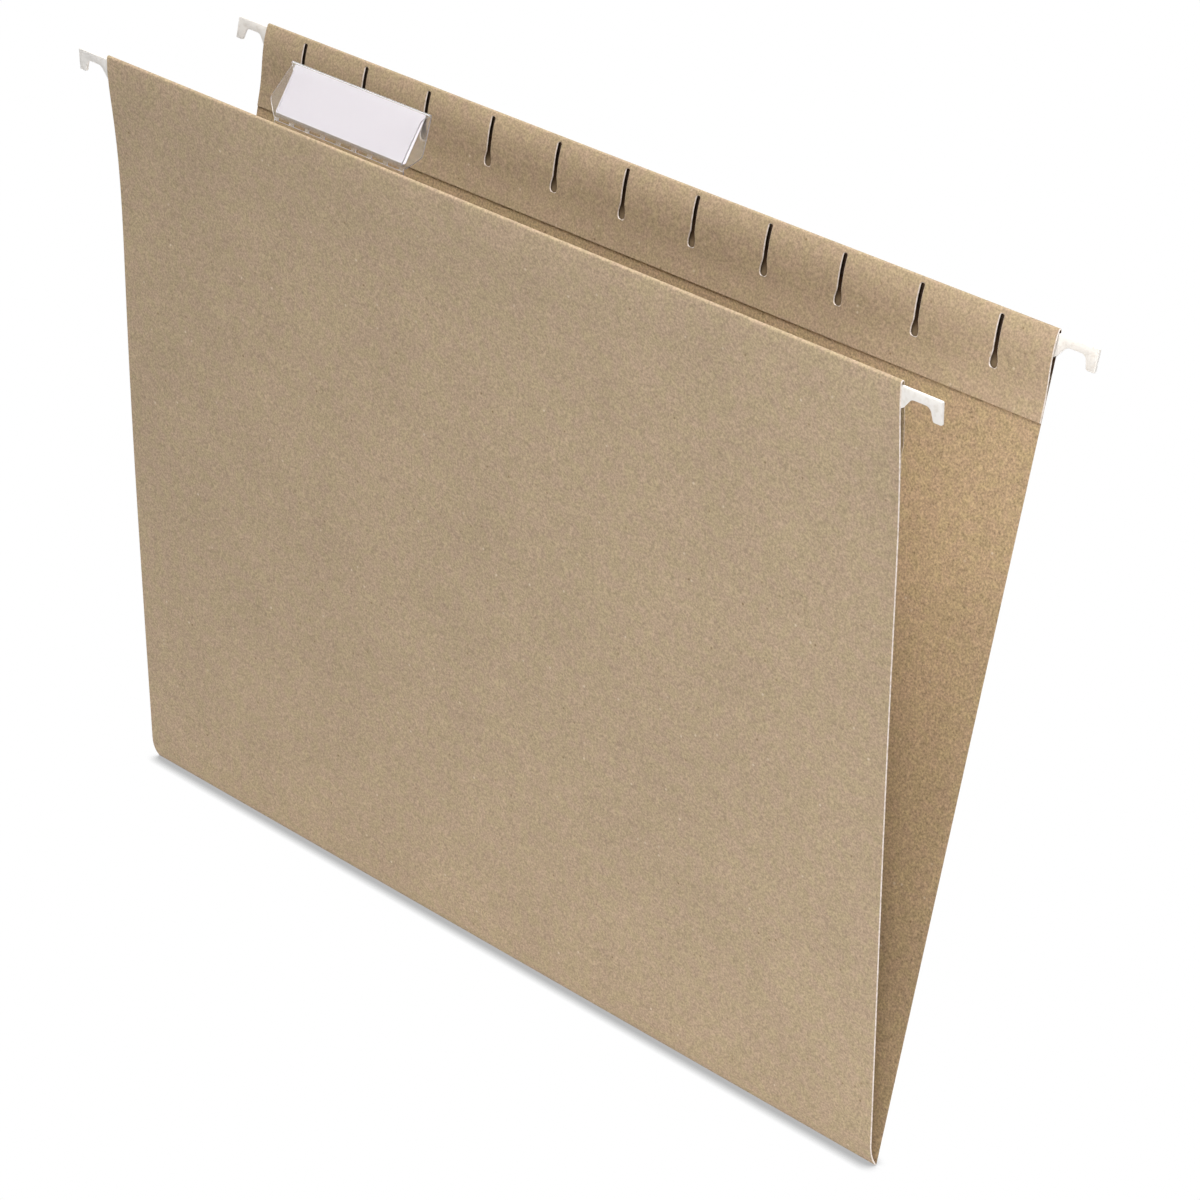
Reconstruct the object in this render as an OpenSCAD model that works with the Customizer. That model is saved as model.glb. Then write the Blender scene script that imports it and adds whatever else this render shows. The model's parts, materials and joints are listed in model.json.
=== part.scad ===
// Hanging file folder for letter-size rails, standing open as a V.
// X runs from hook to hook, the front side faces -Y, and +Z is up.
// The origin is the middle of the four hook seats, where the rails carry the folder.

/* [Board] */
// Width of the board from side edge to side edge
board_w = 298.45; // [220:0.05:400]
// Height of each side along the board, from the bottom fold to the top edge
side_h = 235; // [180:1:300]
// Thickness of the board
board_t = 0.3; // [0.2:0.01:0.5]
// Height of the strip between the bottom fold and each score
strip_h = 8; // [5:0.5:20]
// Lean of the back side from upright
back_lean = 7.9; // [5:0.1:14]
// Lean of the front bottom strip from upright
front_strip_lean = 24; // [15:0.5:35]
// Half of the gap left between two stretches of board at a crease
crease_gap = 0.15; // [0.1:0.01:0.3]

/* [Hem] */
// Depth of the flap that is turned down inside the top edge
flap_h = 25; // [23:0.5:35]
// Height over which the flap bends in to meet the side
flap_bend_h = 3.5; // [2:0.1:4]
// Straight length of flap between the slots and that bend
flap_bend_clear = 1.5; // [0.5:0.1:2]
// Thickness of the glue under the flap's lower edge
glue_t = 0.1; // [0.05:0.01:0.2]
// Board left free of glue around the glued strip
glue_inset = 0.5; // [0.2:0.1:0.8]

/* [Tab slots] */
// Number of slots in each flap
slot_count = 11; // [7:2:11]
// Distance from slot to slot
slot_pitch = 26.3; // [22:0.1:27]
// Depth of a slot's upper end below the top edge
slot_drop = 1.6; // [1.2:0.1:3]
// Length of a slot
slot_l = 14.4; // [13:0.1:15]
// Width of a slot's slit
slot_w = 1.3; // [1.1:0.05:1.8]
// Width of the eye at a slot's lower end
eye_w = 2.2; // [1.9:0.1:3]
// Length of that eye
eye_l = 4.7; // [3.5:0.1:6]

/* [Rods] */
// Thickness of the steel strip
rod_t = 0.6; // [0.4:0.05:1]
// Height of the steel strip inside the hem
rod_h = 6.2; // [5.5:0.1:8]
// Depth of the strip's upper edge below the top edge of the board
rod_drop = 1.3; // [1.1:0.1:2]
// Reach of a hook past the side edge of the board
hook_out = 12.7; // [11.5:0.1:18]
// Height of a hook's neck above the rail
neck_h = 2.5; // [2:0.1:3.5]
// Length of the sloped root between the board and the neck
root_l = 3; // [1.5:0.1:3.5]
// Height of a hook's tip
tip_h = 6.2; // [5.5:0.1:9]
// Width of a tip at its foot
tip_w = 2.6; // [2:0.1:4]
// Extra width of a tip where it meets the neck
tip_flare = 1; // [0.4:0.1:1.4]
// Radius between the neck and the tip
seat_r = 1.2; // [0.6:0.1:1.4]
// Radius on the tip's outer corners
corner_r = 0.4; // [0.3:0.05:0.8]
// Thickness of the coating on the hooks
coat_t = 0.1; // [0.05:0.01:0.25]
// Length of coating that reaches in under the board
coat_in = 6; // [3:0.5:9]

/* [Index tab] */
// Slot at the middle of the tab, counted from the left
tab_slot = 4; // [3:1:5]
// Thickness of the clear plastic
tab_t = 0.3; // [0.2:0.02:0.4]
// Gap between the tab and the board
tab_clear = 0.1; // [0.05:0.01:0.15]
// Length of each ear behind the flap
ear_l = 4.5; // [3:0.1:6]
// Gap above and below an ear
ear_clear = 0.4; // [0.2:0.05:0.8]
// Height of the bend line above the top edge of the board
tab_rise = 1; // [0.8:0.1:3]
// Half of the gap between the two stretches of plastic at the bend line
tab_bend_gap = 0.2; // [0.15:0.01:0.3]
// Lean of the window back from the front side
tab_lean = 35; // [0:1:45]
// Height of the window above the bend line
window_h = 16.4; // [16:0.1:24]
// Width of the window along its top
window_top_w = 55; // [53:0.1:58]
// Width of the window at its shoulders
window_wide_w = 61; // [58.5:0.1:66]
// Height of the shoulders above the bend line
shoulder_h = 4.9; // [3:0.1:10]
// Width of the front ply along its lower edge
ply_foot_w = 50; // [44:0.1:54]
// Height of the front ply's lower edge above the bend line
ply_rise = 1; // [0.8:0.1:4]

/* [Label] */
// Width of the paper label
label_w = 52; // [44:0.1:54]
// Height of the label
label_h = 14.2; // [10:0.1:14.4]
// Thickness of the label
label_t = 0.2; // [0.1:0.01:0.3]
// Gap between the label and each ply
label_clear = 0.1; // [0.05:0.01:0.2]

/* [Hidden] */
$fn = 48;
// Steps in a rounded corner
corner_steps = 6;
// Extra depth of a cutter past the face that it opens
cut = 1;
kraft = [0.66, 0.59, 0.48];
kraft_inside = [0.70, 0.61, 0.46];
glue_tan = [0.78, 0.72, 0.58];
steel = [0.55, 0.56, 0.58];
coat_white = [0.93, 0.92, 0.88];
clear_plastic = [0.85, 0.9, 0.93, 0.45];
label_white = [0.96, 0.95, 0.97];

// Section of the hem, measured from the inner face of the side
sleeve_gap = rod_t + 2 * coat_t;
flap_in = sleeve_gap + board_t;
roll_r = flap_in / 2 + board_t / 2;
panel_h = side_h - strip_h;
roll_z = panel_h - roll_r;
slot_end = slot_drop + slot_l;
flap_bend_z = panel_h - slot_end - flap_bend_clear;
flap_glue_z = flap_bend_z - flap_bend_h;
flap_foot_z = panel_h - flap_h;

// Hooks, measured from the upper edge of the steel strip
rod_z = panel_h - rod_drop;
edge_x = board_w / 2;
hook_x = edge_x + hook_out;
tip_x = hook_x - tip_w;
seat_x = edge_x + root_l;
seat_z = rod_z - neck_h - coat_t;
rod_mid = sleeve_gap / 2;

// Place of the bottom fold and lean of the front side, which bring all four seats to one level
back_seat_z = strip_h * cos(back_lean) + seat_z * cos(back_lean) + rod_mid * sin(back_lean);
back_seat_y = strip_h * sin(back_lean) + seat_z * sin(back_lean) - rod_mid * cos(back_lean);
seat_reach = norm([seat_z, rod_mid]);
front_rise = back_seat_z - strip_h * cos(front_strip_lean);
front_lean = atan2(rod_mid, seat_z) + acos(front_rise / seat_reach);
front_seat_y = strip_h * sin(front_strip_lean) + seat_z * sin(front_lean) - rod_mid * cos(front_lean);
fold_y = (front_seat_y - back_seat_y) / 2;
fold_z = -back_seat_z;

// Index tab, measured from the inner face of the front side
tab_x = (tab_slot - (slot_count + 1) / 2) * slot_pitch;
tab_face = flap_in + tab_clear;
ear_face = sleeve_gap - tab_clear - tab_t;
ear_run = tab_face - ear_face;
tab_half_w = slot_pitch - ear_run / 2;
ear_foot_z = panel_h - slot_end + ear_clear;
ear_top_z = rod_z - rod_h - coat_t - ear_clear;
bend_z = panel_h + tab_rise;
bend_in = tab_face + tab_t / 2;
ply_gap = label_t + 2 * label_clear;
fold_r = ply_gap / 2 + tab_t;
fold_in = tab_t / 2 + ply_gap / 2;
ply_top_z = window_h - fold_r;
label_top_z = ply_top_z - label_clear;

function unit(v) = v / norm(v);

// Points of one outline corner at b, rounded to radius r
function round_corner(a, b, c, r) =
    r == 0 ? [b] :
    let (
        u = unit(a - b),
        v = unit(c - b),
        half = acos(u * v) / 2,
        centre = b + unit(u + v) * r / sin(half),
        from = b + u * r / tan(half) - centre,
        to = b + v * r / tan(half) - centre
    )
    [for (k = [0 : corner_steps]) centre + r * unit(from + (to - from) * k / corner_steps)];

// Outline through [x, z, radius] corners, counter-clockwise
function rounded(corners) =
    let (n = len(corners), p = [for (c = corners) [c[0], c[1]]])
    [for (i = [0 : n - 1]) each round_corner(p[(i + n - 1) % n], p[i], p[(i + 1) % n], corners[i][2])];

// The same outline moved out by g all round
function grown(p, g) =
    let (n = len(p))
    [for (i = [0 : n - 1])
        let (
            u = unit(p[i] - p[(i + n - 1) % n]),
            v = unit(p[(i + 1) % n] - p[i]),
            nu = [u[1], -u[0]],
            nv = [v[1], -v[0]]
        )
        p[i] + g * (nu + nv) / (1 + nu * nv)];

// Right-hand hook, from the rod's lower edge round to its upper edge
hook_corners = [
    [edge_x, -rod_h, 0],
    [seat_x, -neck_h, 0],
    [tip_x - tip_flare, -neck_h, seat_r],
    [tip_x, -tip_h, corner_r],
    [hook_x, -tip_h, corner_r],
    [hook_x, 0, corner_r]
];
left_hook_corners = [for (i = [len(hook_corners) - 1 : -1 : 0])
    [-hook_corners[i][0], hook_corners[i][1], hook_corners[i][2]]];
rod_outline = rounded(concat(hook_corners, left_hook_corners));

// A section drawn as [y, z], drawn out along X
module along_x(w) {
    rotate([90, 0, 90]) linear_extrude(w, center = true) children();
}

// A plate drawn as [x, z], from depth y0 to y1
module plate(y0, y1) {
    translate([0, y1, 0]) rotate([90, 0, 0]) linear_extrude(y1 - y0) children();
}

// Place of each stretch of board: the inner face is y = 0 and the crease below it is z = 0
module back_side() {
    translate([0, fold_y + strip_h * sin(back_lean), fold_z + strip_h * cos(back_lean)])
        rotate([-back_lean, 0, 0]) children();
}

module front_side() {
    translate([0, fold_y - strip_h * sin(front_strip_lean), fold_z + strip_h * cos(front_strip_lean)])
        rotate([front_lean, 0, 0]) mirror([0, 1, 0]) children();
}

module side_board() {
    translate([-edge_x, 0, crease_gap]) cube([board_w, board_t, roll_z - crease_gap]);
}

module strip_board() {
    translate([-edge_x, 0, crease_gap]) cube([board_w, board_t, strip_h - 2 * crease_gap]);
}

module top_fold() {
    along_x(board_w) translate([-rod_mid, roll_z]) difference() {
        circle(r = roll_r);
        circle(r = rod_mid);
        translate([-roll_r - cut, -roll_r - cut]) square([2 * (roll_r + cut), roll_r + cut]);
    }
}

// Keyhole slot, from its upper end down to the foot of its eye
module keyhole() {
    eye_r = eye_w / 2;
    translate([-slot_w / 2, panel_h - slot_end + eye_r]) square([slot_w, slot_l - eye_r]);
    translate([-eye_r, panel_h - slot_end + eye_r]) square([eye_w, eye_l - eye_w]);
    for (z = [eye_r, eye_l - eye_r]) translate([0, panel_h - slot_end + z]) circle(r = eye_r);
}

module flap() {
    difference() {
        along_x(board_w) polygon([
            [-sleeve_gap, roll_z], [-sleeve_gap, flap_bend_z],
            [-glue_t, flap_glue_z], [-glue_t, flap_foot_z],
            [-glue_t - board_t, flap_foot_z], [-glue_t - board_t, flap_glue_z],
            [-flap_in, flap_bend_z], [-flap_in, roll_z]
        ]);
        for (i = [0 : slot_count - 1])
            translate([(i - (slot_count - 1) / 2) * slot_pitch, 0, 0])
                plate(-flap_in - cut, -glue_t / 2) keyhole();
    }
}

module glue() {
    translate([glue_inset - edge_x, -glue_t, flap_foot_z + glue_inset])
        cube([board_w - 2 * glue_inset, glue_t, flap_glue_z - flap_foot_z - 2 * glue_inset]);
}

module rod() {
    translate([0, 0, rod_z]) plate(-rod_mid - rod_t / 2, -rod_mid + rod_t / 2) polygon(rod_outline);
}

// Coating round one hook: side is 1 on the right and -1 on the left
module tip(side) {
    start = edge_x - coat_in;
    difference() {
        intersection() {
            translate([0, 0, rod_z]) plate(-sleeve_gap, 0) polygon(grown(rod_outline, coat_t));
            translate([side > 0 ? start : -start - hook_x, -sleeve_gap - cut, 0])
                cube([hook_x, sleeve_gap + 2 * cut, side_h]);
        }
        rod();
    }
}

// Half of the section through the tab's ears, drawn as [x, y]
module ear_section() {
    polygon([
        [0, -tab_face], [tab_half_w, -tab_face],
        [tab_half_w + ear_run, -ear_face], [tab_half_w + ear_run + ear_l, -ear_face],
        [tab_half_w + ear_run + ear_l, -ear_face - tab_t], [tab_half_w + ear_run, -ear_face - tab_t],
        [tab_half_w, -tab_face - tab_t], [0, -tab_face - tab_t]
    ]);
}

// Place of the window: the bend line is the origin and the window stands along z
module tab_place() {
    translate([tab_x, -bend_in, bend_z]) rotate([tab_lean, 0, 0]) children();
}

module front_panel() { color(kraft) front_side() side_board(); }
module front_top_fold() { color(kraft) front_side() top_fold(); }
module front_flap() { color(kraft_inside) front_side() flap(); }
module front_glue() { color(glue_tan) front_side() glue(); }
module front_rod() { color(steel) front_side() rod(); }
module front_left_tip() { color(coat_white) front_side() tip(-1); }
module front_right_tip() { color(coat_white) front_side() tip(1); }

module front_strip() {
    color(kraft) translate([0, fold_y, fold_z])
        rotate([front_strip_lean, 0, 0]) mirror([0, 1, 0]) strip_board();
}

module back_strip() {
    color(kraft) translate([0, fold_y, fold_z]) rotate([-back_lean, 0, 0]) strip_board();
}

module back_panel() { color(kraft) back_side() side_board(); }
module back_top_fold() { color(kraft) back_side() top_fold(); }
module back_flap() { color(kraft_inside) back_side() flap(); }
module back_glue() { color(glue_tan) back_side() glue(); }
module back_rod() { color(steel) back_side() rod(); }
module back_left_tip() { color(coat_white) back_side() tip(-1); }
module back_right_tip() { color(coat_white) back_side() tip(1); }

module tab_base() {
    color(clear_plastic) front_side() translate([tab_x, 0, 0]) {
        translate([0, 0, ear_foot_z]) linear_extrude(ear_top_z - ear_foot_z) {
            ear_section();
            mirror([1, 0]) ear_section();
        }
        translate([-tab_half_w, -tab_face - tab_t, ear_top_z])
            cube([2 * tab_half_w, tab_t, bend_z - tab_bend_gap - ear_top_z]);
    }
}

module tab_window() {
    color(clear_plastic) front_side() tab_place() {
        plate(-tab_t / 2, tab_t / 2) polygon([
            [-tab_half_w, tab_bend_gap], [tab_half_w, tab_bend_gap],
            [window_wide_w / 2, shoulder_h], [window_top_w / 2, ply_top_z],
            [-window_top_w / 2, ply_top_z], [-window_wide_w / 2, shoulder_h]
        ]);
        plate(tab_t / 2 + ply_gap, 3 * tab_t / 2 + ply_gap) polygon([
            [-ply_foot_w / 2, ply_rise], [ply_foot_w / 2, ply_rise],
            [window_top_w / 2, ply_top_z], [-window_top_w / 2, ply_top_z]
        ]);
        along_x(window_top_w) translate([fold_in, ply_top_z]) difference() {
            circle(r = fold_r);
            circle(r = ply_gap / 2);
            translate([-fold_r - cut, -fold_r - cut]) square([2 * (fold_r + cut), fold_r + cut]);
        }
    }
}

module label_insert() {
    color(label_white) front_side() tab_place()
        translate([-label_w / 2, tab_t / 2 + label_clear, label_top_z - label_h])
            cube([label_w, label_t, label_h]);
}

front_panel();
front_top_fold();
front_flap();
front_glue();
front_rod();
front_left_tip();
front_right_tip();
front_strip();
back_strip();
back_panel();
back_top_fold();
back_flap();
back_glue();
back_rod();
back_left_tip();
back_right_tip();
tab_base();
tab_window();
label_insert();
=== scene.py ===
import json
import math

import bmesh
import bpy
from mathutils import Matrix, Vector


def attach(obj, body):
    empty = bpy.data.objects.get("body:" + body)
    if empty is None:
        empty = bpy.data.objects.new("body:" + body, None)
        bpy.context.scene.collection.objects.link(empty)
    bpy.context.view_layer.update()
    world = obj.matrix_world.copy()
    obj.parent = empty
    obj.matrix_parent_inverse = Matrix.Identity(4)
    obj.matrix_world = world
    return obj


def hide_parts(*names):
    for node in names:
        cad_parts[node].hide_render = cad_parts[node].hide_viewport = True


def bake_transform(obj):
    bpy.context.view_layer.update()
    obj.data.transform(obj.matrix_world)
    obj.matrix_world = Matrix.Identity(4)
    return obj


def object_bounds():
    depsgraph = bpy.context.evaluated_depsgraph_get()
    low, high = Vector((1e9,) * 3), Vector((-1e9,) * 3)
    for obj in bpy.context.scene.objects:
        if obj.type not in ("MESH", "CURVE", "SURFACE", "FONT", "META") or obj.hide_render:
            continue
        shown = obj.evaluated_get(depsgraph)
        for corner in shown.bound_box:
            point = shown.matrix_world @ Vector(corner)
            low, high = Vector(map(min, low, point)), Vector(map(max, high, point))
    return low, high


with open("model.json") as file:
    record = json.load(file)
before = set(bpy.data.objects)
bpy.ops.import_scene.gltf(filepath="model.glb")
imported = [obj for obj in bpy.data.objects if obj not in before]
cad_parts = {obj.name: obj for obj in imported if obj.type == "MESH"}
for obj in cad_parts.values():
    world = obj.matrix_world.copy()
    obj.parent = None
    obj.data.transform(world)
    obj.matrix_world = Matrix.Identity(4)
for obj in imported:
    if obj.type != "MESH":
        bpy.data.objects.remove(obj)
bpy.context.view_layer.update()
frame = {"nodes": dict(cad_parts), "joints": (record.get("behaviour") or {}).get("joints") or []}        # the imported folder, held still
mm = 0.001
hair = 0.001 * mm        # nearer than this counts as the same place
facing = 0.9             # a face looks along an axis from this share of its normal on
crease = 38              # degrees: edges sharper than this stay sharp


# Small tools for modelling by operator
def clearSelection():
    if bpy.context.object and bpy.context.object.mode != "OBJECT":
        bpy.ops.object.mode_set(mode="OBJECT")
    bpy.ops.object.select_all(action="DESELECT")


def takeUp(piece):    # the piece alone is selected and active
    clearSelection()
    piece.select_set(True)
    bpy.context.view_layer.objects.active = piece


def openEdit(piece):
    takeUp(piece)
    bpy.ops.object.mode_set(mode="EDIT")
    bpy.ops.mesh.select_mode(type="VERT")


def closeEdit():
    bpy.ops.object.mode_set(mode="OBJECT")


def settle(piece, place):    # puts the piece's place into its mesh
    takeUp(piece)
    piece.matrix_world = place @ piece.matrix_world
    bpy.ops.object.transform_apply(location=True, rotation=True, scale=True)


def pick(piece, test):    # selects the vertices whose place passes, and what lies between them
    bpy.ops.mesh.select_all(action="DESELECT")
    shape = bmesh.from_edit_mesh(piece.data)
    for vert in shape.verts:
        vert.select = test(vert.co)
    shape.select_flush(True)
    bmesh.update_edit_mesh(piece.data)


def pickFaces(piece, test):    # selects the faces whose middle passes
    bpy.ops.mesh.select_mode(type="FACE")
    bpy.ops.mesh.select_all(action="DESELECT")
    shape = bmesh.from_edit_mesh(piece.data)
    for face in shape.faces:
        face.select_set(bool(test(face.calc_center_median())))
    bmesh.update_edit_mesh(piece.data)


def pull(offset):
    bpy.ops.mesh.extrude_region_move(TRANSFORM_OT_translate={"value": offset})


def faceOut():
    bpy.ops.mesh.select_all(action="SELECT")
    bpy.ops.mesh.normals_make_consistent(inside=False)


def giveDepth(depth):    # a flat outline becomes a closed solid
    bpy.ops.mesh.select_all(action="SELECT")
    pull((0, depth, 0))
    faceOut()


def applyModifier(piece, kind, **settings):
    takeUp(piece)
    bpy.ops.object.modifier_add(type=kind)
    modifier = piece.modifiers[-1]
    for key, value in settings.items():
        setattr(modifier, key, value)
    bpy.ops.object.modifier_apply(modifier=modifier.name)


def smooth(piece):
    takeUp(piece)
    bpy.ops.object.shade_smooth_by_angle(angle=math.radians(crease))


def newName(name):    # names the piece that was just added
    piece = bpy.context.object
    piece.name = name
    piece.data.name = name
    return piece


def addPlate(name, low, high):    # an upright face from corner to corner, at the depth of the first
    clearSelection()
    bpy.ops.mesh.primitive_plane_add(size=1, rotation=(math.pi / 2, 0, 0))
    piece = newName(name)
    piece.scale = (high[0] - low[0], high[2] - low[2], 1)
    piece.location = ((high[0] + low[0]) / 2, low[1], (high[2] + low[2]) / 2)
    bpy.ops.object.transform_apply(location=True, rotation=True, scale=True)
    return piece


def ease(t):
    t = min(1, max(0, t))
    return t * t * (3 - 2 * t)


# A bent sheet follows a path of (y, z) points, made of straight runs and arcs
def runTo(path, end, steps=1):
    start = path[-1].copy()
    for step in range(1, steps + 1):
        path.append(start.lerp(Vector(end), step / steps))


def easeTo(path, end, steps):    # an S-bend that starts and ends upright
    start = path[-1].copy()
    for step in range(1, steps + 1):
        t = step / steps
        path.append(Vector((start.x + (end.x - start.x) * ease(t), start.y + (end.y - start.y) * t)))


def turnAbout(path, centre, angle, steps):
    arm = path[-1] - Vector(centre)
    for step in range(1, steps + 1):
        path.append(Vector(centre) + Matrix.Rotation(angle * step / steps, 2) @ arm)


def pullSheet(name, path, widths, columns):    # one row of edges is extruded from point to point
    clearSelection()
    bpy.ops.mesh.primitive_grid_add(x_subdivisions=columns, y_subdivisions=1, size=1)
    piece = newName(name)
    openEdit(piece)
    pick(piece, lambda spot: spot.y > 0)
    bpy.ops.mesh.delete(type="VERT")
    bpy.ops.mesh.select_all(action="SELECT")
    bpy.ops.transform.resize(value=(widths[0], 1, 1), center_override=(0, 0, 0))
    bpy.ops.transform.translate(value=(0, path[0].x + 0.5, path[0].y))    # the row that is left lies at -0.5
    for here in range(1, len(path)):
        step = path[here] - path[here - 1]
        pull((0, step.x, step.y))
        ratio = widths[here] / widths[here - 1]
        if ratio != 1:
            bpy.ops.transform.resize(value=(ratio, 1, 1), center_override=(0, *path[here]))
    faceOut()
    closeEdit()
    return piece


# Nodes of a material
def addNode(tree, kind, values={}, links={}, **settings):
    node = tree.nodes.new(kind)
    for key, value in settings.items():
        setattr(node, key, value)
    for key, value in values.items():
        node.inputs[key].default_value = value
    for key, source in links.items():
        tree.links.new(source, node.inputs[key])
    return node


def hexColour(code):    # sRGB hex to linear
    parts = [int(code[spot:spot + 2], 16) / 255 for spot in (1, 3, 5)]
    return [p / 12.92 if p <= 0.04045 else ((p + 0.055) / 1.055) ** 2.4 for p in parts] + [1]


def addNoise(tree, spot, size, detail=3, roughness=0.5):    # blotches of about this size
    return addNode(tree, "ShaderNodeTexNoise", {"Scale": 1 / size, "Detail": detail, "Roughness": roughness},
                   {"Vector": spot}).outputs["Fac"]


def addRange(tree, value, source, target=(0, 1), clamp=True):    # carries one span over to another
    return addNode(tree, "ShaderNodeMapRange",
                   {"From Min": source[0], "From Max": source[1], "To Min": target[0], "To Max": target[1]},
                   {"Value": value}, clamp=clamp).outputs[0]


def addMath(tree, operation, first, second):    # the second may be a number
    node = addNode(tree, "ShaderNodeMath", links={0: first}, operation=operation)
    if isinstance(second, (int, float)):
        node.inputs[1].default_value = second
    else:
        tree.links.new(second, node.inputs[1])
    return node.outputs[0]


def addTint(tree, share, first, second):    # a colour between two hex colours
    return addNode(tree, "ShaderNodeMix", {6: hexColour(first), 7: hexColour(second)}, {0: share},
                   data_type="RGBA").outputs[2]


def addBump(tree, shader, height, look):
    bump = addNode(tree, "ShaderNodeBump", {"Strength": look["reliefStrength"], "Distance": look["relief"]},
                   {"Height": height})
    tree.links.new(bump.outputs[0], shader.inputs["Normal"])


def emptyTree(holder):    # of a material or of the world
    holder.use_nodes = True
    holder.node_tree.nodes.clear()
    return holder.node_tree


def newMaterial(name, values):
    material = bpy.data.materials.new(name)
    tree = emptyTree(material)
    shader = addNode(tree, "ShaderNodeBsdfPrincipled", values)
    addNode(tree, "ShaderNodeOutputMaterial", links={"Surface": shader.outputs[0]})
    spot = addNode(tree, "ShaderNodeTexCoord").outputs["Object"]
    return material, tree, shader, spot


def dress(piece, *materials):
    for material in materials:
        piece.data.materials.append(material)


# Recycled kraft board, pressed from mixed brown pulp: matt, softly mottled olive and rose,
# with a fine felt grain and a few dark and pale flecks. The inner face is a little warmer and coarser.
kraft = {
    "outer": {"olive": "#AF9C7D", "rose": "#B19A81", "grainShade": 0.38},
    "inner": {"olive": "#AE9874", "rose": "#B09678", "grainShade": 0.5},
    "dark": "#846F52", "pale": "#D2C2A8",
    "cloud": 26 * mm, "cloudFrom": (0.3, 0.7), "cloudShade": 0.03,
    "mottle": 3.6 * mm, "mottleFrom": (0.36, 0.64),
    "grain": 0.62 * mm, "grainFrom": (0.25, 0.75), "grainRough": 0.6,    # coarser than real fibres, to show
    "darkPitch": 2.1 * mm, "darkSize": 0.22, "darkShare": 0.14,
    "palePitch": 2.6 * mm, "paleSize": 0.19, "paleShare": 0.10,
    "fleckCore": 0.5, "roughness": 0.86, "sheen": 0.25, "relief": 0.03 * mm, "reliefStrength": 0.5,
}


def makeKraft(name, face):
    material, tree, shader, spot = newMaterial(
        name, {"Roughness": kraft["roughness"], "Specular IOR Level": kraft["sheen"]})
    shades = kraft[face]
    mottle = addNoise(tree, spot, kraft["mottle"], detail=2)
    tint = addTint(tree, addRange(tree, mottle, kraft["mottleFrom"]), shades["olive"], shades["rose"])
    grain = addNoise(tree, spot, kraft["grain"], roughness=kraft["grainRough"])
    grainShade = addRange(tree, grain, kraft["grainFrom"],
                          (1 - shades["grainShade"], 1 + shades["grainShade"]), clamp=False)
    cloud = addNoise(tree, spot, kraft["cloud"], detail=2)
    cloudShade = addRange(tree, cloud, kraft["cloudFrom"],
                          (1 - kraft["cloudShade"], 1 + kraft["cloudShade"]))
    shade = addMath(tree, "MULTIPLY", grainShade, cloudShade)
    colour = addNode(tree, "ShaderNodeVectorMath", links={0: tint, "Scale": shade},
                     operation="SCALE").outputs[0]
    for kind in ("dark", "pale"):    # a few cells of each pattern hold a fleck
        cells = addNode(tree, "ShaderNodeTexVoronoi", {"Scale": 1 / kraft[kind + "Pitch"]}, {"Vector": spot})
        size = kraft[kind + "Size"]
        near = addRange(tree, cells.outputs["Distance"], (size, size * kraft["fleckCore"]))
        chance = addNode(tree, "ShaderNodeSeparateColor", links={0: cells.outputs["Color"]})
        chosen = addMath(tree, "LESS_THAN", chance.outputs[0], kraft[kind + "Share"])
        weight = addMath(tree, "MULTIPLY", chosen, chance.outputs[1])
        mask = addMath(tree, "MULTIPLY", near, weight)
        colour = addNode(tree, "ShaderNodeMix", {7: hexColour(kraft[kind])}, {0: mask, 6: colour},
                         data_type="RGBA").outputs[2]
    tree.links.new(colour, shader.inputs["Base Color"])
    addBump(tree, shader, grain, kraft)
    return material


# Die-cut edge of the board: torn fibres without the pressed skin, paler and rougher.
cutEdge = {
    "light": "#EADFD6", "dark": "#C9B8A6", "fibre": 0.8 * mm, "torn": (0.3, 0.6),
    "roughness": 0.95, "sheen": 0.2,
}


def makeCutEdge():
    material, tree, shader, spot = newMaterial(
        "kraftCutEdge", {"Roughness": cutEdge["roughness"], "Specular IOR Level": cutEdge["sheen"]})
    torn = addRange(tree, addNoise(tree, spot, cutEdge["fibre"]), cutEdge["torn"])
    tree.links.new(addTint(tree, torn, cutEdge["dark"], cutEdge["light"]), shader.inputs["Base Color"])
    return material


# Inside of the hem: painted shade, near black behind the slits and brown behind their eyes, standing in for
# the shadow deep in the hem.
paintedHemShade = {
    "deep": ("#3C2B1F", "#55402F"), "dim": ("#6A5A44", "#85725A"),
    "fade": (11.8 * mm, 14.4 * mm),            # how far below the top edge the painted shade fades out
    "shadeBlotch": 1.5 * mm, "roughness": 0.95, "sheen": 0.1,
}


def makePaintedHemShade():
    material, tree, shader, spot = newMaterial(
        "paintedShadeKraft", {"Roughness": paintedHemShade["roughness"], "Specular IOR Level": paintedHemShade["sheen"]})
    # Painted shade: blotchy, near black high in the hem, fading by height to brown lower down.
    shadeBlotch = addNoise(tree, spot, paintedHemShade["shadeBlotch"])
    deep = addTint(tree, shadeBlotch, *paintedHemShade["deep"])
    dim = addTint(tree, shadeBlotch, *paintedHemShade["dim"])
    edge = max(vert.co.z for vert in frame["nodes"]["back_top_fold"].data.vertices)
    height = addNode(tree, "ShaderNodeSeparateXYZ", links={0: spot}).outputs[2]
    fade = addRange(tree, height, [edge - down for down in paintedHemShade["fade"]])
    colour = addNode(tree, "ShaderNodeMix", links={0: fade, 6: deep, 7: dim}, data_type="RGBA").outputs[2]
    tree.links.new(colour, shader.inputs["Base Color"])
    return material


# Dip-coated vinyl on the hooks: smooth off-white, a soft gloss, faint handling marks.
coating = {
    "white": "#ECE7E0", "grey": "#E0D9CF", "mark": 1.4 * mm, "worn": (0.5, 0.75), "ior": 1.53,
    "roughness": (0.36, 0.54), "relief": 0.03 * mm, "reliefStrength": 0.1,
}


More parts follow.
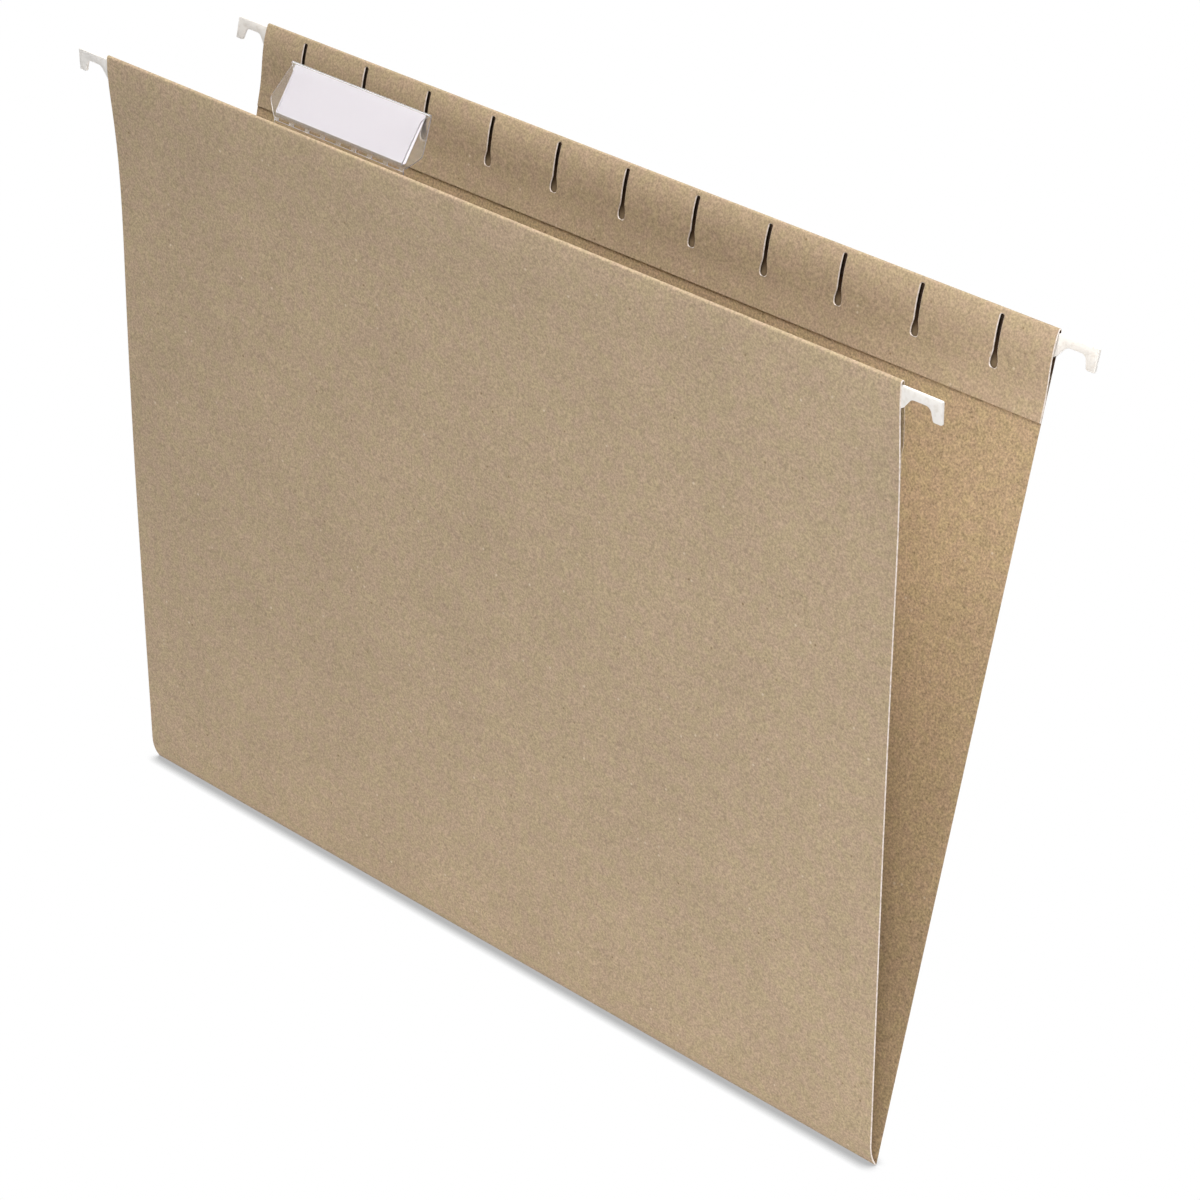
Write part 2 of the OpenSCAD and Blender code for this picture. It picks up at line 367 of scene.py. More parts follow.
def makeCoating():
    material, tree, shader, spot = newMaterial("dippedVinyl", {"IOR": coating["ior"]})
    mark = addNoise(tree, spot, coating["mark"], detail=2)
    colour = addTint(tree, addRange(tree, mark, coating["worn"]), coating["white"], coating["grey"])
    tree.links.new(colour, shader.inputs["Base Color"])
    tree.links.new(addRange(tree, mark, (0, 1), coating["roughness"]), shader.inputs["Roughness"])
    addBump(tree, shader, mark, coating)
    return material


# Calendered clear vinyl sheet: glossy, seen through, with fine rubbed haze.
clearSheet = {
    "tint": "#FAFAFA", "haze": 3 * mm, "hazeFrom": (0.4, 0.8), "hazeRoughness": 0.08, "ior": 1.53,
    "flat": 0.03, "bent": 0.22,                # roughness, more where the sheet is bent sharply
}


def makeClear(name, form):
    material, tree, shader, spot = newMaterial(name, {
        "Base Color": hexColour(clearSheet["tint"]), "Transmission Weight": 1, "IOR": clearSheet["ior"]})
    rough = clearSheet[form]
    haze = addRange(tree, addNoise(tree, spot, clearSheet["haze"]), clearSheet["hazeFrom"],
                    (rough, rough + clearSheet["hazeRoughness"]))
    tree.links.new(haze, shader.inputs["Roughness"])
    return material


# Cut edge of the clear sheet: frosted by the knife, so it catches light as a pale line.
vinylEdge = {"pale": "#D9D3D8", "dull": "#B4ACB0", "nick": 0.7 * mm, "roughness": 0.5, "clearness": 0.65}


def makeVinylEdge():
    material, tree, shader, spot = newMaterial(
        "vinylCutEdge", {"Roughness": vinylEdge["roughness"], "Transmission Weight": vinylEdge["clearness"]})
    nick = addNoise(tree, spot, vinylEdge["nick"], detail=2)
    tree.links.new(addTint(tree, nick, vinylEdge["dull"], vinylEdge["pale"]), shader.inputs["Base Color"])
    return material


# Uncoated white card: faintly lavender, with a soft tooth.
card = {
    "white": "#E3DDE1", "shade": "#DCD6DB", "tooth": 0.5 * mm, "roughness": 0.8,
    "relief": 0.02 * mm, "reliefStrength": 0.2,
}


def makeCard():
    material, tree, shader, spot = newMaterial("whiteCard", {"Roughness": card["roughness"]})
    tooth = addNoise(tree, spot, card["tooth"])
    tree.links.new(addTint(tree, tooth, card["shade"], card["white"]), shader.inputs["Base Color"])
    addBump(tree, shader, tooth, card)
    return material


# Steel strip, dark and warm with rolling streaks along its length: its darkness is partly painted shade, so
# that it reads as the shadow deep in the hem behind the slits.
rolledSteel = {
    "light": "#66564A", "dark": "#483B31", "streak": 0.6 * mm, "stretch": 0.03, "roughness": (0.34, 0.52),
}


def makeSteel():
    material, tree, shader, spot = newMaterial("rolledSteel", {"Metallic": 1})
    along = addNode(tree, "ShaderNodeMapping", {"Scale": (rolledSteel["stretch"], 1, 1)}, {"Vector": spot})
    streak = addNoise(tree, along.outputs[0], rolledSteel["streak"])
    tree.links.new(addTint(tree, streak, rolledSteel["dark"], rolledSteel["light"]),
                   shader.inputs["Base Color"])
    tree.links.new(addRange(tree, streak, (0, 1), rolledSteel["roughness"]), shader.inputs["Roughness"])
    return material


# Dried starch glue: cream, uneven, half matt.
driedGlue = {"thin": "#C9B792", "thick": "#DCCFAE", "pool": 2.2 * mm, "roughness": 0.5}


def makeGlue():
    material, tree, shader, spot = newMaterial("driedGlue", {"Roughness": driedGlue["roughness"]})
    pool = addNoise(tree, spot, driedGlue["pool"])
    tree.links.new(addTint(tree, pool, driedGlue["thin"], driedGlue["thick"]), shader.inputs["Base Color"])
    return material


kraftOuter = makeKraft("kraftOuterFace", "outer")
kraftInner = makeKraft("kraftInnerFace", "inner")
kraftCut = makeCutEdge()
# painted shade for the inside of the hem
hemShadeMaterial = makePaintedHemShade()
hookCoating = makeCoating()
clearVinyl = makeClear("clearVinyl", "flat")
bentVinyl = makeClear("bentVinyl", "bent")
vinylCut = makeVinylEdge()
labelCard = makeCard()
stripSteel = makeSteel()
hemGlue = makeGlue()
print("materials made")


# Camera at the photograph's angle
cameraView = {
    "azimuth": 42.34, "elevation": 24.68, "roll": 5.0,
    "distance": 1099.3 * mm, "aim": (0, 0, -111 * mm), "right": 22.38 * mm, "up": -5.41 * mm,
    "lens": 118.2, "sensor": 36,
}


def addCamera():
    azimuth = math.radians(cameraView["azimuth"])
    elevation = math.radians(cameraView["elevation"])
    back = Vector((math.sin(azimuth) * math.cos(elevation), -math.cos(azimuth) * math.cos(elevation),
                   math.sin(elevation)))
    right = Vector((0, 0, 1)).cross(back).normalized()
    up = back.cross(right)
    spot = Vector(cameraView["aim"]) + back * cameraView["distance"]
    spot += right * cameraView["right"] + up * cameraView["up"]
    turn = Matrix((right, up, back)).transposed() @ Matrix.Rotation(math.radians(cameraView["roll"]), 3, "Z")
    clearSelection()
    bpy.ops.object.camera_add(location=spot, rotation=turn.to_euler())
    camera = bpy.context.object
    camera.data.lens = cameraView["lens"]
    camera.data.sensor_width = cameraView["sensor"]
    bpy.context.scene.camera = camera


addCamera()
print("camera set")


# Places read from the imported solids
def boardPlace(node):    # a thin board's own frame: its lower edge's middle, with z up along the board
    spots = [vert.co for vert in frame["nodes"][node].data.vertices]
    middle = sum(spot.z for spot in spots) / len(spots)
    low = [spot for spot in spots if spot.z < middle]
    high = [spot for spot in spots if spot.z >= middle]
    foot = sum(low, Vector()) / len(low)
    run = sum(high, Vector()) / len(high) - foot
    lean = math.atan2(run.y, run.z)
    return Matrix.Translation((0, foot.y, foot.z)) @ Matrix.Rotation(-lean, 4, "X")


def boxIn(node, place):    # a node's lowest and highest corners in such a frame
    back = place.inverted()
    spots = [back @ vert.co for vert in frame["nodes"][node].data.vertices]
    low = Vector([min(spot[axis] for spot in spots) for axis in range(3)])
    high = Vector([max(spot[axis] for spot in spots) for axis in range(3)])
    return low, high


def jointSpot(name):
    return Vector(next(joint for joint in frame["joints"] if joint["name"] == name)["pos_m"])


# Board sides: one sheet for the side, its rolled top edge and the flap turned down inside
sideBoard = {
    "columns": 24, "rows": 40, "hemRows": 3, "lipRows": 5, "rollSteps": 12,
    "puffRows": 8, "bendRows": 10, "footRows": 2,
    "start": 3 * mm,                                   # height above the score where the side begins
    "bow": {"front": (1.9 * mm, 1.1 * mm), "back": (0, 0)},    # bow of the left and right edges
    "bowFrom": 5 * mm, "bowPeak": 43 * mm, "bowPower": 1.8,    # measured down from the top edge
    "lip": (4.5 * mm, 0.16 * mm),                      # the side's top bends in over this height
    "puff": {"front": 0, "back": 0.2}, "puffFoot": {"front": 17.5 * mm, "back": 5.5 * mm},
    "flapMeets": {"front": 21 * mm, "back": 20.5 * mm},    # from here down the flap lies on the side again
    "openEnd": (40 * mm, 130 * mm, 0.55 * mm),         # towards the right end the front flap stands off
    "openSkew": 0.8,                                   # widest a little above the middle of the hem
    "paintedShadeFrom": 17 * mm,                               # from here up the inside of the hem gets the painted shade
    "edge": 0.2 * mm,                                  # width of the pale slope along a cut edge
}
keyhole = {
    "count": 11, "pitch": 26.3 * mm, "drop": 1.6 * mm, "length": 14.4 * mm, "slit": 1.3 * mm,
    "eyeWidth": 2.4 * mm, "eyeLength": 4.6 * mm, "shoulder": 2.4 * mm,
    "eyeRound": 0.48, "topRound": 0.5 * mm, "roundSteps": 5,    # the eye's rounding is a share of its width
    "clear": 0.25 * mm, "depth": 4,                    # the cut's depth is counted in radii of the roll
}
outerFace, cutFace, innerFace, paintedShadeFace = range(4)    # the order of the board's materials on a piece
otherFace = {outerFace: innerFace, innerFace: outerFace, cutFace: cutFace}
sides = {}
for sideName, inward in (("front", 1), ("back", -1)):
    place = boardPlace(sideName + "_panel")
    panelLow, panelHigh = boxIn(sideName + "_panel", place)
    rollLow, rollHigh = boxIn(sideName + "_top_fold", place)
    flapLow = boxIn(sideName + "_flap", place)[0]
    glueLow, glueHigh = boxIn(sideName + "_glue", place)
    thick = panelHigh.y - panelLow.y
    sides[sideName] = {
        "place": place, "inward": inward, "thick": thick, "width": panelHigh.x - panelLow.x,
        "top": rollHigh.z, "rollZ": rollLow.z, "rollR": rollHigh.z - rollLow.z - thick / 2,
        "flapFoot": flapLow.z, "glueFar": max(abs(glueLow.y), abs(glueHigh.y)),
    }


def bowAt(sideName, spot):    # how far the board bows inwards at a place in the side's frame
    side = sides[sideName]
    left, right = sideBoard["bow"][sideName]
    down = max(0, side["top"] - spot.z - sideBoard["bowFrom"])
    down /= sideBoard["bowPeak"] - sideBoard["bowFrom"]
    share = spot.x / side["width"] + 0.5
    return (left + (right - left) * share) * (down * math.exp(1 - down)) ** sideBoard["bowPower"]


def bowPiece(piece, sideName):    # moves every part of the hem alike, so that its plies stay together
    most = max(sideBoard["bow"][sideName])
    if most == 0:
        return
    group = piece.vertex_groups.new(name="bow")
    for vert in piece.data.vertices:
        group.add([vert.index], bowAt(sideName, vert.co) / most, "REPLACE")
    applyModifier(piece, "DISPLACE", direction="Y", mid_level=0, vertex_group="bow",
                  strength=most * sides[sideName]["inward"])
    piece.vertex_groups.clear()


def thicken(piece, thick, outside):    # gives the sheet its thickness, two faces and pale cut edges
    dress(piece, kraftOuter, kraftCut, kraftInner)
    applyModifier(piece, "SOLIDIFY", thickness=thick, offset=0, use_even_offset=True,
                  material_offset=innerFace, material_offset_rim=cutFace)
    faces = piece.data.polygons
    if next(face.material_index for face in faces if outside(face)) == innerFace:
        for face in faces:
            face.material_index = otherFace[face.material_index]


def addCutter(sideName):    # one keyhole drawn flat, rounded, given depth and repeated along the flap
    side = sides[sideName]
    high = side["top"] - keyhole["drop"]
    low = high - keyhole["length"]
    eyeTop = low + keyhole["eyeLength"]
    near = side["inward"] * (side["thick"] / 2 + keyhole["clear"] / 2)
    middle = -keyhole["pitch"] * (keyhole["count"] - 1) / 2
    cutter = addPlate(sideName + "KeyholeCutter", (middle - keyhole["slit"] / 2, near, eyeTop),
                      (middle + keyhole["slit"] / 2, near, high))
    openEdit(cutter)
    pick(cutter, lambda spot: spot.z < eyeTop + hair)
    pull((0, 0, -keyhole["shoulder"]))
    bpy.ops.transform.resize(value=(keyhole["eyeWidth"] / keyhole["slit"], 1, 1),
                             center_override=(middle, near, eyeTop))
    pull((0, 0, low - eyeTop + keyhole["shoulder"]))
    bpy.ops.mesh.select_all(action="SELECT")
    bpy.ops.mesh.dissolve_faces()
    for edgeZ, size in ((low, keyhole["eyeWidth"] * keyhole["eyeRound"]), (high, keyhole["topRound"])):
        pick(cutter, lambda spot: abs(spot.z - edgeZ) < hair)
        bpy.ops.mesh.bevel(offset=size, offset_type="OFFSET", segments=keyhole["roundSteps"],
                           affect="VERTICES")
    giveDepth(side["inward"] * keyhole["depth"] * side["rollR"])
    closeEdit()
    applyModifier(cutter, "ARRAY", count=keyhole["count"], use_relative_offset=False,
                  use_constant_offset=True, constant_offset_displace=(keyhole["pitch"], 0, 0))
    dress(cutter, kraftOuter, kraftCut, kraftInner)
    for face in cutter.data.polygons:
        face.material_index = cutFace
    return cutter


def hemPath(path, sideName):    # over the roll, out a little, in to the side and along the glued foot
    side = sides[sideName]
    inward = side["inward"]
    lipTall, lipLean = sideBoard["lip"]
    lipSlope = math.atan(2 * lipLean / lipTall)
    puffSlope = math.atan(sideBoard["puff"][sideName])
    radius = (2 * side["rollR"] - lipLean) / (math.cos(lipSlope) + math.cos(puffSlope))
    lipFoot = side["top"] - side["thick"] / 2 - radius * (1 - math.sin(lipSlope)) - lipTall
    # a row where the painted shade inside the hem begins
    runTo(path, (0, side["top"] - sideBoard["paintedShadeFrom"]), sideBoard["rows"])
    runTo(path, (0, lipFoot), sideBoard["hemRows"])
    for step in range(1, sideBoard["lipRows"] + 1):
        t = step / sideBoard["lipRows"]
        path.append(Vector((inward * lipLean * t * t, lipFoot + lipTall * t)))
    centre = path[-1] + Vector((inward * math.cos(lipSlope), -math.sin(lipSlope))) * radius
    turnAbout(path, centre, -inward * (math.pi - lipSlope - puffSlope), sideBoard["rollSteps"])
    start = path[-1].copy()
    drop = start.y - side["top"] + sideBoard["puffFoot"][sideName]
    for step in range(1, sideBoard["puffRows"] + 1):
        t = step / sideBoard["puffRows"]
        out = drop * math.tan(puffSlope) * (t - t * t / 2)
        path.append(Vector((start.x + inward * out, start.y - drop * t)))
    foot = (side["glueFar"] + side["thick"] / 2) * inward
    easeTo(path, Vector((foot, side["top"] - sideBoard["flapMeets"][sideName])), sideBoard["bendRows"])
    runTo(path, (foot, side["flapFoot"]), sideBoard["footRows"])


def openFlapEnd(piece):    # the front flap stands off its side towards the right end
    side = sides["front"]
    begin, full, most = sideBoard["openEnd"]
    group = piece.vertex_groups.new(name="open")
    for vert in piece.data.vertices:
        down = (side["top"] - vert.co.z) / sideBoard["flapMeets"]["front"]
        gap = math.sin(math.pi * min(1, max(0, down)) ** sideBoard["openSkew"])
        share = gap * ease((vert.co.x - begin) / (full - begin))
        group.add([vert.index], share if vert.co.y > side["rollR"] else 0, "REPLACE")
    applyModifier(piece, "DISPLACE", direction="Y", mid_level=0, vertex_group="open", strength=most)
    piece.vertex_groups.clear()


def paleEdges(piece, test):    # a narrow slope of cut board along the edges of the outer face
    openEdit(piece)
    bpy.ops.mesh.select_mode(type="EDGE")
    bpy.ops.mesh.select_all(action="DESELECT")
    shape = bmesh.from_edit_mesh(piece.data)
    for edge in shape.edges:
        rim = {face.material_index for face in edge.link_faces} == {outerFace, cutFace}
        edge.select_set(rim and test((edge.verts[0].co + edge.verts[1].co) / 2))
    bmesh.update_edit_mesh(piece.data)
    bpy.ops.mesh.bevel(offset=sideBoard["edge"], offset_type="OFFSET", segments=1, affect="EDGES",
                       material=cutFace)
    closeEdit()


def makeSide(sideName):
    side = sides[sideName]
    path = [Vector((0, sideBoard["start"]))]
    hemPath(path, sideName)
    piece = pullSheet(sideName + "Board", path, [side["width"]] * len(path), sideBoard["columns"])
    if sideName == "front":
        openFlapEnd(piece)
    thicken(piece, side["thick"], lambda face: (
        face.normal.y * side["inward"] < -facing and face.center.z < side["rollZ"] / 2))
    cutter = addCutter(sideName)
    applyModifier(piece, "BOOLEAN", object=cutter, operation="DIFFERENCE", solver="EXACT",
                  material_mode="INDEX")
    bpy.data.objects.remove(cutter)
    paleEdges(piece, lambda spot: (
        spot.z > sideBoard["start"] + hair and abs(spot.z - side["flapFoot"]) > 10 * hair))
    dress(piece, hemShadeMaterial)
    # faces inside the hem get the painted shade, standing in for the shadow there
    for face in piece.data.polygons:
        inHem = face.center.z > side["top"] - sideBoard["paintedShadeFrom"] and abs(face.center.y) < side["thick"]
        if face.material_index == innerFace and inHem:
            face.material_index = paintedShadeFace
    bowPiece(piece, sideName)
    settle(piece, side["place"])
    smooth(piece)
    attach(piece, sideName + "_side")
    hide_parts(sideName + "_panel", sideName + "_top_fold", sideName + "_flap")
    print(piece.name, len(piece.data.polygons), "faces")


for sideName in sides:
    makeSide(sideName)


# Bottom of the board: the scores and the fold, drawn as one bent sheet and cut where the bodies part
bottom = {
    "columns": 24, "straightRows": 3, "curveSteps": 9,
    "foldRound": 0.65 * mm, "foldSteps": 6,    # how far the fold's rounding reaches along each strip
    "foldReach": (0.2 * mm, 0.6 * mm),         # the reach behind and before the fold's axis, kept in the table of bends and used no further
    "scoreReach": 1.6 * mm,                    # the reach above and below a score's line, kept in the table of bends and used no further
}


def lineOf(node):    # a board's middle line in the (y, z) plane: its foot and its upward direction
    place = boardPlace(node)
    return place.translation.yz, (place.to_3x3() @ Vector((0, 0, 1))).yz


def meet(spotA, wayA, spotB, wayB):
    gap = spotB - spotA
    along = (gap.x * wayB.y - gap.y * wayB.x) / (wayA.x * wayB.y - wayA.y * wayB.x)
    return spotA + wayA * along


def cutAcross(piece, spot, way):    # keeps what lies on the way side of a plane, and closes the cut
    openEdit(piece)
    bpy.ops.mesh.select_all(action="SELECT")
    bpy.ops.mesh.bisect(plane_co=(0, *spot), plane_no=(0, *Vector(way).normalized()), use_fill=True,
                        clear_inner=True, threshold=hair / 10)
    closeEdit()


def makeBottom():
    frontFoot, frontWay = lineOf("front_panel")
    stripFoot, stripWay = lineOf("front_strip")
    backFoot, backWay = lineOf("back_panel")
    backStripFoot, backStripWay = lineOf("back_strip")
    score = meet(frontFoot, frontWay, stripFoot, stripWay)
    fold = meet(stripFoot, stripWay, backStripFoot, backStripWay)
    path = [frontFoot + frontWay * sideBoard["start"]]
    runTo(path, score, bottom["straightRows"])
    chord = fold - score
    half = math.acos(-chord.normalized().dot(frontWay))    # the strip curves from the side to the fold
    radius = chord.length / 2 / math.sin(half)
    centre = score + Vector((frontWay.y, -frontWay.x)) * radius
    turnAbout(path, centre, 2 * half, bottom["curveSteps"])
    runTo(path, backFoot, 2 * bottom["straightRows"])
    runTo(path, backFoot + backWay * sideBoard["start"], bottom["straightRows"])
    width = sides["front"]["width"]
    whole = pullSheet("bottomBoard", path, [width] * len(path), bottom["columns"])
    openEdit(whole)
    pick(whole, lambda spot: (spot.yz - fold).length < 10 * hair)
    bpy.ops.mesh.bevel(offset=bottom["foldRound"], offset_type="OFFSET", segments=bottom["foldSteps"],
                       affect="EDGES")
    closeEdit()
    thicken(whole, sides["front"]["thick"], lambda face: face.normal.z < -facing)
    paleEdges(whole, lambda spot: abs(spot.x) > width / 2 - hair)
    pieces = {}
    for name in ("frontScoreBend", "bottomFoldBend", "backScoreBend"):
        takeUp(whole)
        bpy.ops.object.duplicate()
        pieces[name] = newName(name)
    bpy.data.objects.remove(whole)
    frontCut = (score + fold) / 2
    backCut = (backFoot + fold) / 2
    between = (frontCut + fold) / 2                    # a line between the two legs of the fold
    cutAcross(pieces["frontScoreBend"], between, (-1, 0))
    cutAcross(pieces["frontScoreBend"], frontCut, -chord)
    cutAcross(pieces["bottomFoldBend"], frontCut, chord)
    cutAcross(pieces["bottomFoldBend"], backCut, -backStripWay)
    cutAcross(pieces["backScoreBend"], between, (1, 0))
    cutAcross(pieces["backScoreBend"], backCut, backStripWay)
    reach = bottom["scoreReach"]
    foldAxis = jointSpot("bottom_fold")
    bends = {
        "frontScoreBend": ("front_strip", "front_side", score - frontWay * reach, score + frontWay * reach),
        "bottomFoldBend": ("back_strip", "front_strip",
                           Vector((foldAxis.y + bottom["foldReach"][0], foldAxis.z)),
                           Vector((foldAxis.y - bottom["foldReach"][1], foldAxis.z))),
        "backScoreBend": ("back_strip", "back_side", backFoot - backWay * reach, backFoot + backWay * reach),
    }
    for name, (bodyA, bodyB, start, end) in bends.items():
        smooth(pieces[name])
        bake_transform(pieces[name])
        print(name, len(pieces[name].data.polygons), "faces")
    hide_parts("front_strip")
    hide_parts("back_strip")


makeBottom()


# Glue under the front flap, bowed with the board
frontGlue = {"columns": 24, "rows": 3}


def makeFrontGlue():
    side = sides["front"]
    low, high = boxIn("front_glue", side["place"])
    path = [Vector(((low.y + high.y) / 2, low.z))]
    runTo(path, (path[0].x, high.z), frontGlue["rows"])
    piece = pullSheet("frontGlueLine", path, [high.x - low.x] * len(path), frontGlue["columns"])
    dress(piece, hemGlue)
    applyModifier(piece, "SOLIDIFY", thickness=high.y - low.y, offset=0)
    bowPiece(piece, "front")
    settle(piece, side["place"])
    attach(piece, "front_side")
    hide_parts("front_glue")


makeFrontGlue()
for nodeName, material in (("back_glue", hemGlue), ("front_rod", stripSteel), ("back_rod", stripSteel)):
    frame["nodes"][nodeName].data.materials.clear()
    dress(frame["nodes"][nodeName], material)


# Hook coats: one outline, given its thickness and soft edges, then copied to the four ends
hookCoat = {
    "rod": 6.4 * mm, "neck": 2.7 * mm, "root": 3 * mm, "tip": 2.8 * mm, "flare": 1 * mm,
    "seatRound": 1.3 * mm, "cornerRound": 0.45 * mm, "rootRound": 1 * mm, "roundSteps": 5,
    "edge": 0.16 * mm, "edgeSteps": 2, "edgeFrom": 60,    # degrees: edges sharper than this are softened
}


def makeCoat():    # the front right one, in its side's frame
    low, high = boxIn("front_right_tip", sides["front"]["place"])
    edge = sides["front"]["width"] / 2
    foot = high.z - hookCoat["rod"]
    seat = high.z - hookCoat["neck"]
    crook = high.x - hookCoat["tip"] - hookCoat["flare"]
    coat = addPlate("frontRightCoat", (low.x, low.y, foot), (edge, low.y, high.z))
    openEdit(coat)
    pick(coat, lambda spot: spot.x > edge - hair)
    pull((hookCoat["root"], 0, 0))
    pick(coat, lambda spot: spot.x > edge + hair and spot.z < seat)
    bpy.ops.transform.translate(value=(0, 0, seat - foot))
    pick(coat, lambda spot: spot.x > edge + hair)
    pull((crook - edge - hookCoat["root"], 0, 0))
    pull((high.x - crook, 0, 0))
    pick(coat, lambda spot: spot.x > crook - hair and spot.z < seat + hair)
    pull((0, 0, low.z - seat))
    pick(coat, lambda spot: abs(spot.x - crook) < hair and spot.z < low.z + hair)
    bpy.ops.transform.translate(value=(hookCoat["flare"], 0, 0))
    bpy.ops.mesh.select_all(action="SELECT")
    bpy.ops.mesh.dissolve_faces()
    pick(coat, lambda spot: edge + hair < spot.x < high.x - hair and abs(spot.z - high.z) < hair)
    bpy.ops.mesh.dissolve_verts()
    rounds = (
        ("cornerRound", lambda spot: spot.x > high.x - hookCoat["tip"] - hair and abs(spot.z - seat) > hair),
        ("seatRound", lambda spot: abs(spot.x - crook) < hair),
        ("rootRound", lambda spot: (
            edge - hair < spot.x < edge + hookCoat["root"] + hair and spot.z < seat + hair)),
    )
    for size, test in rounds:
        pick(coat, test)
        bpy.ops.mesh.bevel(offset=hookCoat[size], offset_type="OFFSET", segments=hookCoat["roundSteps"],
                           affect="VERTICES")
    giveDepth(high.y - low.y)
    closeEdit()
    applyModifier(coat, "BEVEL", width=hookCoat["edge"], segments=hookCoat["edgeSteps"],
                  limit_method="ANGLE", angle_limit=math.radians(hookCoat["edgeFrom"]))
    dress(coat, hookCoating)
    return coat


def placeCoats():
    first = makeCoat()
    firstLow = boxIn("front_right_tip", sides["front"]["place"])[0]
    for sideName in sides:
        for end, turn in (("Right", 1), ("Left", -1)):
            node = sideName + "_" + end.lower() + "_tip"
            low = boxIn(node, sides[sideName]["place"])[0]
            takeUp(first)
            bpy.ops.object.duplicate()
            coat = newName(sideName + end + "HookCoat")
            openEdit(coat)
            bpy.ops.mesh.select_all(action="SELECT")
            bpy.ops.transform.resize(value=(turn, 1, 1), center_override=(0, 0, 0))
            bpy.ops.transform.translate(value=(0, low.y - firstLow.y, 0))
            faceOut()
            closeEdit()
            bowPiece(coat, sideName)
            settle(coat, sides[sideName]["place"])
            smooth(coat)
            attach(coat, sideName + "_side")
            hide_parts(node)
    bpy.data.objects.remove(first)
    print("hook coats placed")


placeCoats()


# Index tab: a base with two ears in the flap's slots, a perforated bend and a folded window
indexTab = {
    "sheet": 0.3 * mm, "columns": 8, "hinge": 0.45 * mm,    # half the height of the perforated strip
    "foot": 51.8 * mm, "wide": 61 * mm, "top": 55 * mm, "plyTop": 51.2 * mm, "plyFoot": 50.4 * mm,
    "shoulder": 4.9 * mm, "plyRise": 1 * mm, "cornerRound": 1.2 * mm, "notch": 1.8 * mm,
    "rows": 14, "foldSteps": 8, "ear": 4.5 * mm, "earStep": 0.8 * mm, "earTall": 7.6 * mm,
    "earRows": 3, "baseRows": 4, "cells": 33, "bridgeEvery": 4, "bridgeBend": 0.4,
}
tabBend = jointSpot("tab_tilt")
labelPlace = boardPlace("label_insert")
tabPlace = Matrix.Translation(tabBend) @ labelPlace.to_3x3().to_4x4()
windowLow, windowHigh = boxIn("tab_window", tabPlace)
tabPlace = tabPlace @ Matrix.Translation(((windowLow.x + windowHigh.x) / 2, 0, 0))    # centred on the tab
windowTop = windowHigh.z - (windowHigh.y - windowLow.y) / 2        # where the sheet starts to fold over


def windowWidth(height, ply):
    if ply == "front":
        share = (height - indexTab["plyRise"]) / (windowTop - indexTab["plyRise"])
        corner = ease((height - windowTop) / indexTab["notch"] + 1)    # cut back just below the fold
        return (indexTab["plyFoot"] + (indexTab["plyTop"] - indexTab["plyFoot"]) * share
                + (indexTab["top"] - indexTab["plyTop"]) * corner)
    lower = indexTab["foot"] + (indexTab["wide"] - indexTab["foot"]) * height / indexTab["shoulder"]
    share = (height - indexTab["shoulder"]) / (windowTop - indexTab["shoulder"])
    upper = indexTab["wide"] + (indexTab["top"] - indexTab["wide"]) * share
    return (lower + upper - math.hypot(lower - upper, indexTab["cornerRound"])) / 2


def clearSolid(piece, material):    # gives the sheet its thickness and pale cut edges
    dress(piece, material, vinylCut)
    applyModifier(piece, "SOLIDIFY", thickness=indexTab["sheet"], offset=0, use_even_offset=True,
                  material_offset_rim=1)


def makeWindow():
    deep = windowHigh.y - windowLow.y - indexTab["sheet"]          # between the middles of the two plies
    path = [Vector((0, indexTab["hinge"]))]
    runTo(path, (0, windowTop), indexTab["rows"])
    widths = [windowWidth(spot.y, "back") for spot in path]
    widths[-1] = indexTab["top"]
    turnAbout(path, (-deep / 2, windowTop), math.pi, indexTab["foldSteps"])
    runTo(path, (-deep, indexTab["plyRise"]), indexTab["rows"])
    for spot in path[len(widths):]:
        widths.append(windowWidth(min(spot.y, windowTop), "front"))
    piece = pullSheet("tabWindowSheet", path, widths, indexTab["columns"])
    clearSolid(piece, clearVinyl)
    settle(piece, tabPlace)
    smooth(piece)
    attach(piece, "tab_window")
    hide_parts("tab_window")


def makeBase():
    side = sides["front"]
    low, high = boxIn("tab_base", side["place"])
    plate = high.y - indexTab["sheet"] / 2
    ear = low.y + indexTab["sheet"] / 2
    top = (side["place"].inverted() @ tabBend).z - indexTab["hinge"]
    earTop = low.z + indexTab["earTall"]
    path = [Vector((plate, low.z))]
    runTo(path, (plate, earTop), indexTab["earRows"])
    runTo(path, (plate, top), indexTab["baseRows"])
    piece = pullSheet("tabBasePlate", path, [indexTab["foot"]] * len(path), indexTab["columns"])
    openEdit(piece)
    for turn in (1, -1):
        pick(piece, lambda spot: spot.x * turn > indexTab["foot"] / 2 - hair and spot.z < earTop + hair)
        pull((indexTab["earStep"] * turn, ear - plate, 0))
        pull((indexTab["ear"] * turn, 0, 0))
    faceOut()
    bpy.ops.transform.translate(value=((low.x + high.x) / 2, 0, 0))
    closeEdit()
    clearSolid(piece, clearVinyl)
    bowPiece(piece, "front")
    settle(piece, side["place"])
    smooth(piece)
    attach(piece, "front_side")
    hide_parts("tab_base")


